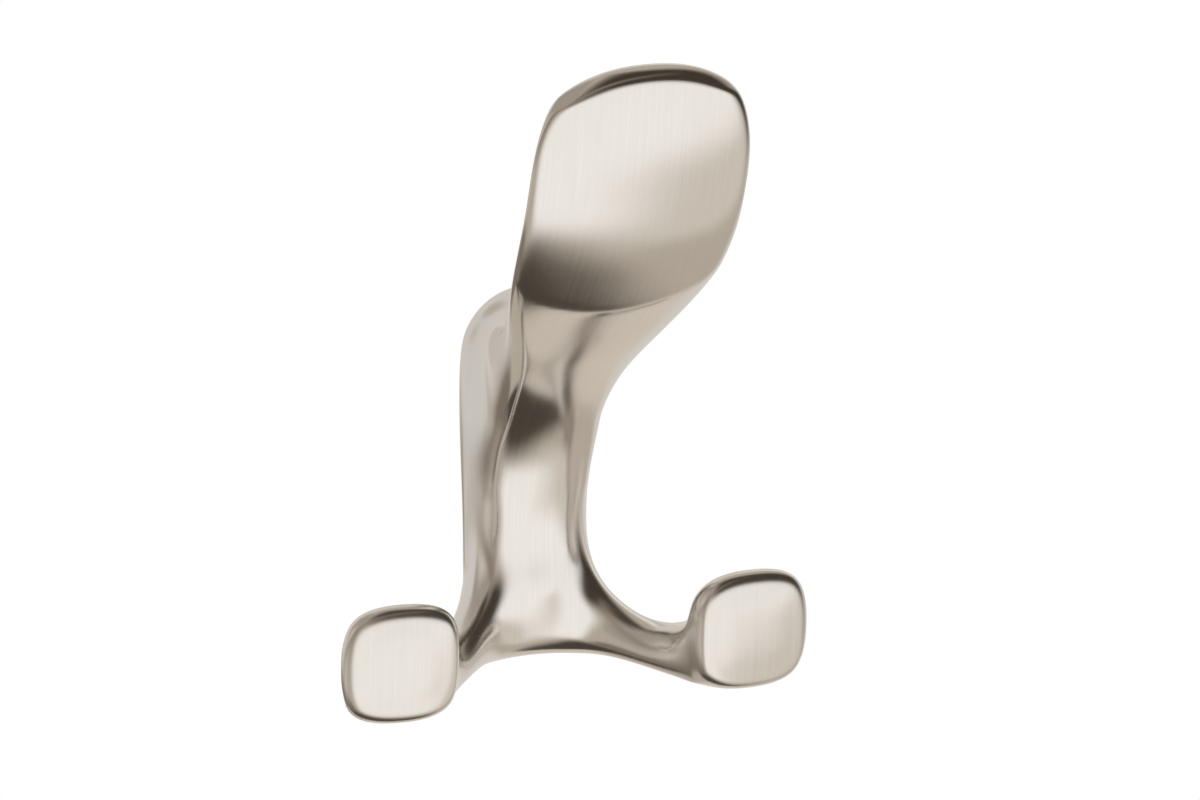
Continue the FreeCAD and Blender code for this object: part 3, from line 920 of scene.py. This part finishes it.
def thread_coil(fixing, up):
    """Thread ridge in a hole: a wedge carried along a helix.

    At turn t the wedge stands at angle t and goes in by pitch t / 2 pi. Its crest lies at the crest's
    radius and its foot just inside the hole's wall, and the crest sinks into the wall at both ends.
    """
    steps_to_a_turn = 40
    sunk_in = 0.04 * MM
    margin = 0.4 * fixing.pitch
    crest_half, foot_half = 0.06, 0.44
    chamfer = fixing.mouth_radius - fixing.root_radius
    turns = (fixing.depth - chamfer - 2 * margin) / fixing.pitch
    steps = int(turns * steps_to_a_turn)
    t = np.linspace(0, turns * 2 * math.pi, steps)
    fade = eased(np.minimum(t, t[::-1]) / math.pi)[:, None]
    foot = np.full((steps, 1), fixing.root_radius + sunk_in)
    crest = foot - fade * (foot - fixing.crest_radius)
    wedge = np.array([-foot_half, -crest_half, crest_half, foot_half]) * fixing.pitch
    radius = np.concatenate([foot, crest, crest, foot], axis=1)
    depth = chamfer + margin + t[:, None] * fixing.pitch / (2 * math.pi) + wedge
    points = np.stack([radius * np.cos(t)[:, None], -depth, up + radius * np.sin(t)[:, None]], axis=2)
    grid = np.arange(steps * 4).reshape(steps, 4)
    turned = np.roll(grid, -1, axis=1)
    sides = np.stack([grid[:-1], turned[:-1], turned[1:], grid[1:]], axis=2).reshape(-1, 4)
    ends = np.stack([grid[0, ::-1], grid[-1]])
    return points.reshape(-1, 3), np.concatenate([sides, ends])


def new_piece(name, points, cells, materials):
    """Mesh object at the origin with its place in its points."""
    mesh = bpy.data.meshes.new(name)
    mesh.from_pydata(points.tolist(), [], cells.tolist())
    mesh.validate()
    for material in materials:
        mesh.materials.append(material)
    mesh.shade_smooth()
    piece = bpy.data.objects.new(name, mesh)
    bpy.context.scene.collection.objects.link(piece)
    return piece


def part_finishes(mesh, finishes):
    """Finish of each cell, with a sharp crease on each edge between two finishes."""
    mesh.polygons.foreach_set("material_index", finishes)
    edges = np.empty(len(mesh.loops), int)
    mesh.loops.foreach_get("edge_index", edges)
    corner_finish = np.repeat(finishes, 4)
    lowest = np.full(len(mesh.edges), HOLE + 1)
    highest = np.full(len(mesh.edges), -1)
    np.minimum.at(lowest, edges, corner_finish)
    np.maximum.at(highest, edges, corner_finish)
    crease = mesh.attributes.new("crease_edge", "FLOAT", "EDGE")
    crease.data.foreach_set("value", (lowest != highest).astype(float))
    mesh.edges.foreach_set("use_edge_sharp", lowest != highest)


def smooth_over_cage(piece, levels):
    """Replaces the cage in the piece by its smooth surface."""
    smoothing = piece.modifiers.new("smooth skin", "SUBSURF")
    smoothing.levels = smoothing.render_levels = levels
    smoothing.boundary_smooth = "ALL"
    evaluated = piece.evaluated_get(bpy.context.evaluated_depsgraph_get())
    smooth = bpy.data.meshes.new_from_object(evaluated)
    piece.modifiers.clear()
    piece.data = smooth
    smooth.name = piece.name


def point_rows(mesh, what):
    """Places ("co") or directions ("normal") of a mesh's points, a row for each point."""
    rows = np.empty(len(mesh.vertices) * 3)
    mesh.vertices.foreach_get(what, rows)
    return rows.reshape(-1, 3)


def move_points(mesh, places):
    """Puts the mesh's points at these places."""
    mesh.vertices.foreach_set("co", places.ravel())
    mesh.update()


# Where the belt reaches: in each range its share rises from 0 at the first length to 1 at the second
# one, in millimetres, and the shares of a place's ranges are multiplied. "Behind" is the distance
# behind the backs of the small paddles.
BELT_REACH = {
    "arms": (("side", 4, 8), ("behind", -1, 0.5), ("up", -3, -9)),
    "joints": (("side", 15, 19), ("out", 13, 17)),
    "foot": (("side", 1, 9), ("side", 24, 16), ("up", -3, -9)),
    "neck": (("up", 0, 5), ("up", 46, 38), ("out", 7, 10)),
    "lower edge": (("up", -22, -29), ("out", 4, 8), ("side", 25, 19)),
    "sunk edge": (("up", -25, -33), ("out", 2, 6), ("side", 28, 20)),
    "off the wall": (("out", 2, 4),),
}

# Steps and rounds of the belt, its share at the joints, the upward part of the direction that a
# point faces where the wide rounds start and are full, and how far the lower edge sinks
BELT_STEP = 0.5
BELT_STEP_BACK = -0.52
FINE_ROUNDS = 160
WIDE_ROUNDS = 170
JOINT_SHARE = 0.3
UNDERSIDE = (-0.5, -0.1)
EDGE_SINKING = 0.6 * MM

# How squarely a point faces off the front line where its share of the chin starts and is full
CHIN_FACING = (0.25, 0.95)


def ground_smooth(piece, sizes):
    """Evens out the hollows of the foot, the arms and the neck, as the belt does on the casting.

    Each round moves a point by the step's part of the way to the mean of its neighbours. On the arms
    and the neck it then goes back by a little more, so small waves go and the size stays. Beside the
    foot, at its lower edge and where an arm meets its paddle there is no way back, so the hollows
    widen and the edge gets rounder. The underside keeps its shape there, and the lower edge sinks
    by a fixed length to keep its height.
    """
    mesh = piece.data
    places, facing = point_rows(mesh, "co"), point_rows(mesh, "normal")
    side, out, up = np.abs(places[:, 0]), -places[:, 1], places[:, 2]
    behind = sizes.arm.hook_out - sizes.arm.hook_thickness - out
    lengths = {"side": side / MM, "out": out / MM, "up": up / MM, "behind": behind / MM}

    def reach(name):
        """Share of the belt's work that each point takes."""
        return math.prod(rise(lengths[way], start, full) for way, start, full in BELT_REACH[name])

    arms, clear = reach("arms"), reach("off the wall")
    fine = np.maximum(arms, reach("neck")) * clear
    wide = (reach("foot") + JOINT_SHARE * reach("joints") * arms) * clear
    wide = np.maximum(wide * rise(facing[:, 2], *UNDERSIDE), reach("lower edge"))
    sunk = reach("sunk edge")
    edges = np.empty(len(mesh.edges) * 2, int)
    mesh.edges.foreach_get("vertices", edges)
    edges = edges.reshape(-1, 2)
    starts, ends = np.concatenate([edges, edges[:, ::-1]]).T
    meeting = np.bincount(starts, minlength=len(places))[:, None]
    fine_steps = (BELT_STEP, BELT_STEP_BACK) * FINE_ROUNDS
    wide_steps = (BELT_STEP,) * WIDE_ROUNDS
    for part, steps in ((fine, fine_steps), (wide, wide_steps)):
        for step in steps:
            around = [np.bincount(starts, places[ends, axis], len(places)) for axis in range(3)]
            places = places + step * part[:, None] * (np.stack(around, axis=1) / meeting - places)
    places[:, 2] -= EDGE_SINKING * sunk
    move_points(mesh, places)


def crisp_chin(piece, sizes):
    """Draws the turn from the neck into the main paddle's face together into a soft ridge.

    With q the distance along the front from a line that rises with the square of the side, a point
    of the front moves out by the chin's height times (1 - |q| / reach)^2 - dip, and |q| is rounded
    off near 0 as the root of q^2 + rounding^2. The move fades out from one reach to two.
    """
    neck, paddle, mesh = sizes.neck, sizes.paddle, piece.data
    places, facing = point_rows(mesh, "co"), point_rows(mesh, "normal")
    steep = neck.lean
    bend_out, bend_up, _ = front_line(neck, paddle, neck.radius * steep + neck.run, sizes.bar.stem_out)
    side, ahead, above = places[:, 0], -places[:, 1] - bend_out, places[:, 2] - bend_up
    straight = ahead * math.sin(steep) + above * math.cos(steep)
    turned = np.arctan2(paddle.radius * math.sin(steep) - above, paddle.radius * math.cos(steep) + ahead)
    along = np.where(straight < 0, straight, paddle.radius * (steep - turned))
    lean = np.where(straight < 0, steep, turned)
    line = paddle.chin_start + paddle.chin_rise * (side / paddle.half_width) ** 2
    distance = np.sqrt((along - line) ** 2 + paddle.chin_rounding**2) / paddle.chin_reach
    toward = np.stack([np.zeros(len(lean)), -np.cos(lean), -np.sin(lean)], axis=1)
    front = rise((facing * toward).sum(axis=1), *CHIN_FACING)
    shape = np.maximum(1 - distance, 0) ** 2 - paddle.chin_dip
    move = paddle.chin_height * front * rise(distance, 2.0, 1.0) * shape
    move_points(mesh, places + toward * move[:, None])


def keep_in_box(piece):
    """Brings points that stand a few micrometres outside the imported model's box back onto it."""
    move_points(piece.data, np.clip(point_rows(piece.data, "co"), *np.array(cad_box)))


def settle(piece, *nodes):
    """Puts a piece on the hook's body, in place of CAD nodes if any are named."""
    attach(piece, BODY)
    if nodes:
        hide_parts(*nodes)


class HOOK_OT_casting(bpy.types.Operator):
    """Build the casting"""

    bl_idname = "coat_hook.casting"
    bl_label = "Casting"

    def execute(self, context):
        sizes = context.scene.coat_hook
        points, cells, finishes = casting_cage(sizes)
        finish = sizes.finish
        materials = [satin_nickel(finish), ground_back(finish), cut_metal(finish)]
        piece = new_piece("casting", points, cells, materials)
        part_finishes(piece.data, finishes)
        smooth_over_cage(piece, SMOOTH_LEVELS)
        ground_smooth(piece, sizes)
        crisp_chin(piece, sizes)
        keep_in_box(piece)
        settle(piece, NODE)
        return {"FINISHED"}


class HOOK_OT_threads(bpy.types.Operator):
    """Cut the threads of the two fixing holes"""

    bl_idname = "coat_hook.threads"
    bl_label = "Threads"

    def execute(self, context):
        fixing = context.scene.coat_hook.fixing
        material = bpy.data.materials["cut_metal"]
        half_spacing = 0.5 * fixing.spacing
        for name, up in (("thread_low", -half_spacing), ("thread_high", half_spacing)):
            settle(new_piece(name, *thread_coil(fixing, up), [material]))
        return {"FINISHED"}


# Studio

# Camera: the angles and the distance from which it looks, the width of its picture, and how far the
# picture's middle lies to the right, up and towards the camera from the origin
VIEW_AZIMUTH = math.radians(-22.0)
VIEW_ELEVATION = math.radians(14.0)
VIEW_DISTANCE = 6.0
VIEW_WIDTH = 222.2 * MM
VIEW_RIGHT = 14.35 * MM
VIEW_UP = 11.46 * MM
VIEW_DEPTH = 26.0 * MM

# Floor, lamp, even light and tent, in metres and watts
FLOOR_DROP = 0.62
FLOOR_RADIUS = 1.25
LAMP_SIZE = 0.8
LAMP_POWER = 9.0
LAMP_PLACE = (0.0, -0.1, 1.3)
PLAIN_LIGHT = (0.62, 0.62, 0.62)
WHITE = (1.0, 1.0, 1.0)
TENT_RADIUS = 0.5
TENT_STRENGTH = 1.1

# Cloths of the light tent, each over the ones before it: bearing and height of its middle, half
# width, half height, tilt, softness and squareness, and its colour. All angles are in degrees. The
# base colour and most values here were found by a least-squares fit of the hook's reflections to
# those in the photograph. The others were set one by one.
TENT_BASE = (0.502, 0.455, 0.395)
TENT_CLOTHS = (
    (-145, 27, 59, 29, -39, 0.05, 4, (0.691, 0.675, 0.660)),
    (124, 23, 48, 9, 47, 0.55, 4, (0.947, 0.925, 0.906)),
    (157, -15, 33, 57, -50, 0.20, 4, (0.710, 0.672, 0.634)),
    (-110, -38, 65, 13, -17, 0.23, 2, (0.214, 0.182, 0.149)),
    (-73, 31, 40, 50, 3, 0.04, 4, (0.385, 0.347, 0.309)),
    (38, 31, 64, 45, -28, 0.32, 2, (0.057, 0.046, 0.036)),
    (15, -26, 45, 28, 4, 0.25, 4, (0.997, 0.984, 0.978)),
    (-85, -4, 29, 19, 56, 0.69, 4, (0.647, 0.605, 0.550)),
    (-45, 10, 65, 8, 24, 0.84, 2, (0.288, 0.242, 0.203)),
    (51, -33, 23, 17, 31, 0.50, 4, (0.672, 0.632, 0.572)),
    (144, -68, 45, 16, -7, 0.22, 4, (0.660, 0.600, 0.530)),
)

# Dark mat below the hook, over all cloths. Its middle and half sizes are the direction's X and Y, its
# rear edge lies at a Y that falls with X, and its height is the Z at which it starts and is full.
# Its values began with the same fit, and most were then set one by one.
MAT_MIDDLE = (-0.04, 0.44)
MAT_HALF_SIZES = (0.56, 0.94)
MAT_SOFTNESS = 0.13
MAT_REAR = (0.25, 0.15)
MAT_REAR_SLOPE = 0.40
MAT_HEIGHT = (-0.2, -0.4)
MAT_COLOUR = (0.070, 0.058, 0.047)


def tent_material():
    """Light tent round the hook, which only the metal's reflections see.

    Directions are a bearing, 0 straight ahead of the wall and positive to the right, and a height
    above the horizon. A cloth covers the directions whose turned and scaled bearing u and height v
    have (u^s + v^s)^(1/s) below 1, with a soft edge. Its squareness s is 2 for an oval and 4 for a
    rounded rectangle. A dark mat lies below the hook.
    """
    material, n = new_material("light_tent")
    direction = n.vector("NORMALIZE", n.add("ShaderNodeTexCoord", output=3))
    x, y, z = n.parts(direction)
    bearing = n.math("ARCTAN2", x, 0 - y) * math.degrees(1.0)
    height = n.math("ARCSINE", z) * math.degrees(1.0)

    def cloth(middle_bearing, middle_height, half_width, half_height, tilt, soft, squareness):
        """1 inside the cloth, falling to 0 over its soft edge."""
        aside = n.math("WRAP", bearing - middle_bearing, 180.0, -180.0)
        above = height - middle_height
        c, s = math.cos(math.radians(tilt)), math.sin(math.radians(tilt))
        u = (aside * c + above * s) * (1 / half_width)
        v = (above * c - aside * s) * (1 / half_height)
        reach = ((u * u) ** (0.5 * squareness) + (v * v) ** (0.5 * squareness)) ** (1 / squareness)
        return n.smooth(reach, 1 + soft, 1 - soft)

    tent = rgba(TENT_BASE)
    for *place, tone in TENT_CLOTHS:
        tent = n.mix(cloth(*place), tent, rgba(tone))
    rear = n.smooth(y + x * MAT_REAR_SLOPE, *MAT_REAR)
    aside = (x - MAT_MIDDLE[0]) * (1 / MAT_HALF_SIZES[0])
    ahead = (y - MAT_MIDDLE[1]) * (1 / MAT_HALF_SIZES[1])
    spread = (aside * aside + ahead * ahead) ** 0.5
    mat = rear * n.smooth(spread, 1 + MAT_SOFTNESS, 1 - MAT_SOFTNESS) * n.smooth(z, *MAT_HEIGHT)
    tent = n.mix(mat, tent, rgba(MAT_COLOUR))
    emission = n.add("ShaderNodeEmission", Color=tent, Strength=TENT_STRENGTH)
    n.surface(emission)
    material.cycles.emission_sampling = "NONE"
    return material


def light_tent():
    """Sphere given by turn t and height h: (r cos h cos t, r cos h sin t, r sin h)."""
    columns, rows = 48, 24
    turns, heights = np.linspace(0, 2 * math.pi, columns + 1), np.linspace(-0.5, 0.5, rows + 1) * math.pi
    turn, height = np.meshgrid(turns, heights)
    points = TENT_RADIUS * np.stack(
        [np.cos(height) * np.cos(turn), np.cos(height) * np.sin(turn), np.sin(height)], axis=2
    )
    grid = np.arange(turn.size).reshape(turn.shape)
    cells = np.stack([grid[:-1, :-1], grid[:-1, 1:], grid[1:, 1:], grid[1:, :-1]], axis=2).reshape(-1, 4)
    tent = new_piece("light_tent", points.reshape(-1, 3), cells, [tent_material()])
    tent.visible_camera = False
    tent.visible_diffuse = False
    tent.visible_shadow = False
    tent.visible_transmission = False
    return tent


def floor_disc(finish):
    """Floor below the hook: a disc given by turn t and radius r, clear when seen from below.

    Its points are (r cos t, r sin t), in rings round a small middle face.
    """
    columns, rings = 96, 12
    material, n = new_material("floor")
    seen_from_below = n.add("ShaderNodeNewGeometry", output=6)
    matt = n.add("ShaderNodeBsdfDiffuse", Color=rgba(finish.floor))
    clear = n.add("ShaderNodeBsdfTransparent")
    n.surface(n.add("ShaderNodeMixShader", s0=seen_from_below, s1=matt, s2=clear))
    turns = np.linspace(0, 2 * math.pi, columns + 1)[:-1]
    turn, radius = np.meshgrid(turns, np.linspace(0.04 * FLOOR_RADIUS, FLOOR_RADIUS, rings + 1))
    level = np.full(turn.shape, -FLOOR_DROP)
    points = np.stack([radius * np.cos(turn), radius * np.sin(turn), level], axis=2)
    grid = np.arange(turn.size).reshape(turn.shape)
    turned = np.roll(grid, -1, axis=1)
    cells = np.stack([grid[:-1], grid[1:], turned[1:], turned[:-1]], axis=2).reshape(-1, 4).tolist()
    cells.append(grid[0].tolist())
    mesh = bpy.data.meshes.new("floor")
    mesh.from_pydata(points.reshape(-1, 3).tolist(), [], cells)
    mesh.materials.append(material)
    floor = bpy.data.objects.new("floor", mesh)
    bpy.context.scene.collection.objects.link(floor)
    return floor


def studio_world():
    """White behind the object and in its reflections, and a plain pale light otherwise."""
    world = bpy.data.worlds.new("studio")
    world.use_nodes = True
    n = Nodes(world.node_tree)
    path = n.tree.nodes.new("ShaderNodeLightPath")
    seen = Value(n, path.outputs["Is Camera Ray"])
    for name in ("Is Glossy Ray", "Is Transmission Ray"):
        seen = n.math("MAXIMUM", seen, Value(n, path.outputs[name]))
    tone = n.mix(seen, rgba(PLAIN_LIGHT), rgba(WHITE))
    n.add_output("ShaderNodeOutputWorld", n.add("ShaderNodeBackground", Color=tone, Strength=1.0))
    world.cycles.sampling_method = "NONE"
    bpy.context.scene.world = world


def soft_lamp():
    """Large square lamp above the hook."""
    lamp = bpy.data.lights.new("soft_lamp", "AREA")
    lamp.shape = "SQUARE"
    lamp.size = LAMP_SIZE
    lamp.energy = LAMP_POWER
    lamp_object = bpy.data.objects.new("soft_lamp", lamp)
    lamp_object.location = LAMP_PLACE
    lamp_object.visible_glossy = False
    bpy.context.scene.collection.objects.link(lamp_object)


def photo_camera():
    """Camera at the photograph's angle, far enough away for its nearly parallel view.

    The frame has the view's width at the view's depth in front of the wall.
    """
    a, e = VIEW_AZIMUTH, VIEW_ELEVATION
    back = Vector((math.sin(a) * math.cos(e), -math.cos(a) * math.cos(e), math.sin(e)))
    right = Vector((math.cos(a), math.sin(a), 0.0))
    up = back.cross(right)
    camera = bpy.data.cameras.new("camera")
    camera.lens = camera.sensor_width * VIEW_DISTANCE / VIEW_WIDTH
    camera.clip_start = 0.1
    camera.clip_end = 30.0
    camera_object = bpy.data.objects.new("camera", camera)
    camera_object.location = right * VIEW_RIGHT + up * VIEW_UP + back * (VIEW_DEPTH + VIEW_DISTANCE)
    camera_object.rotation_mode = "QUATERNION"
    camera_object.rotation_quaternion = (-back).to_track_quat("-Z", "Y")
    bpy.context.scene.collection.objects.link(camera_object)
    bpy.context.scene.camera = camera_object


class HOOK_OT_studio(bpy.types.Operator):
    """Set up the floor, the light tent, the lamp and the camera"""

    bl_idname = "coat_hook.studio"
    bl_label = "Studio"

    def execute(self, context):
        light_tent()
        floor_disc(context.scene.coat_hook.finish)
        studio_world()
        soft_lamp()
        photo_camera()
        context.scene.view_settings.view_transform = "Standard"
        return {"FINISHED"}


class HOOK_PT_panel(bpy.types.Panel):
    """Sizes and building steps of the coat hook"""

    bl_idname = "HOOK_PT_panel"
    bl_label = "Coat hook"
    bl_space_type = "VIEW_3D"
    bl_region_type = "UI"
    bl_category = "Coat hook"

    def draw(self, context):
        sizes = context.scene.coat_hook
        for operator in OPERATORS:
            self.layout.operator(operator.bl_idname)
        for name in ("bar", "neck", "paddle", "arm", "fixing", "finish"):
            group = getattr(sizes, name)
            box = self.layout.box()
            box.label(text=group.bl_rna.description)
            for key in group.__annotations__:
                box.prop(group, key)


OPERATORS = (HOOK_OT_casting, HOOK_OT_threads, HOOK_OT_studio)
GROUPS = (BarSizes, NeckSizes, PaddleSizes, ArmSizes, FixingSizes, Finish, CoatHook)


def register():
    """Registers the classes and hangs the sizes on the scene."""
    for cls in (*GROUPS, *OPERATORS, HOOK_PT_panel):
        bpy.utils.register_class(cls)
    bpy.types.Scene.coat_hook = bpy.props.PointerProperty(type=CoatHook)


def unregister():
    """Takes the sizes and the classes away again."""
    del bpy.types.Scene.coat_hook
    for cls in reversed((*GROUPS, *OPERATORS, HOOK_PT_panel)):
        bpy.utils.unregister_class(cls)


def main():
    """Builds the hook and the studio."""
    register()
    bpy.ops.coat_hook.casting()
    bpy.ops.coat_hook.threads()
    bpy.ops.coat_hook.studio()


if __name__ == "__main__":
    main()
